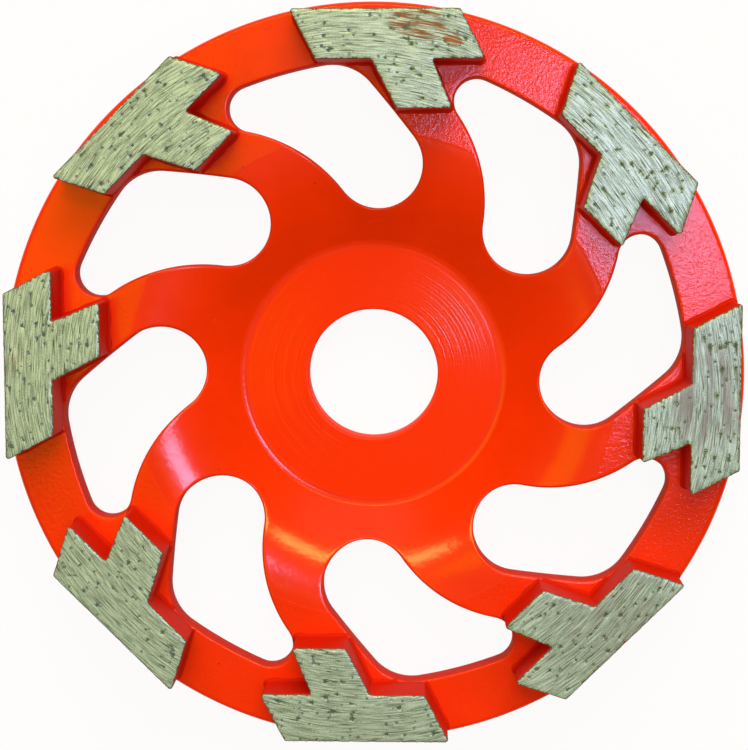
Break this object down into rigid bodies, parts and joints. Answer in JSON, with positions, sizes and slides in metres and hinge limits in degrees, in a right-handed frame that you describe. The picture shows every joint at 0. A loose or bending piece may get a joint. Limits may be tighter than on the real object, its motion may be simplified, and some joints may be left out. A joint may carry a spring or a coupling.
{
  "type": "diamond cup wheel",
  "caption": "Shallow painted steel cup wheel with a plain bore, swept windows and arrow-shaped diamond grinding segments around its rim.",
  "frame": {"origin": "centre of the bore at the hub's back face, which is also the centre of the part's base", "axes": "+Z along the bore axis, from the hub's back face towards the ground tops of the segments; one segment stands centred on +X"},
  "size_m": [0.125, 0.125, 0.0195],
  "materials": {
    "steel_body": "glossy orange paint over steel",
    "diamond_segment": "ground sintered metal with diamond grit"
  },
  "bodies": {
    "root": {"steel_body": "steel_body", "diamond_segment_1": "diamond_segment", "diamond_segment_2": "diamond_segment", "diamond_segment_3": "diamond_segment", "diamond_segment_4": "diamond_segment", "diamond_segment_5": "diamond_segment", "diamond_segment_6": "diamond_segment", "diamond_segment_7": "diamond_segment", "diamond_segment_8": "diamond_segment"}
  },
  "joints": []
}
